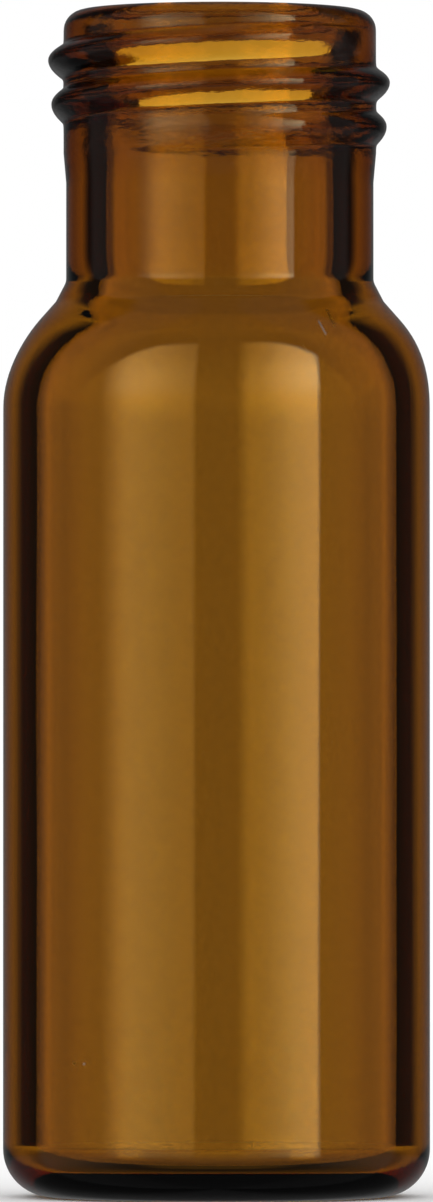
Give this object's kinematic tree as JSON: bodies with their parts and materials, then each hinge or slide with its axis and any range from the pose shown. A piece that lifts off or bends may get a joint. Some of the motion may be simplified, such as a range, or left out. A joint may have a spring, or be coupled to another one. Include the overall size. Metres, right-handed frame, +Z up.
{
  "type": "glass sample vial",
  "caption": "Small round amber glass sample vial with a flat base, a rounded shoulder, a narrow neck and an outside screw thread below a rounded lip.",
  "frame": {"origin": "centre of the base, on the surface that the vial stands on", "axes": "+Z up along the vial's axis, from the base to the mouth; the thread's lower end lies 215 degrees from +X"},
  "size_m": [0.0116, 0.0116, 0.0322],
  "materials": {
    "amber_glass": "clear amber glass, fire-polished, gloss"
  },
  "bodies": {
    "root": {"vial": "amber_glass"}
  },
  "joints": []
}
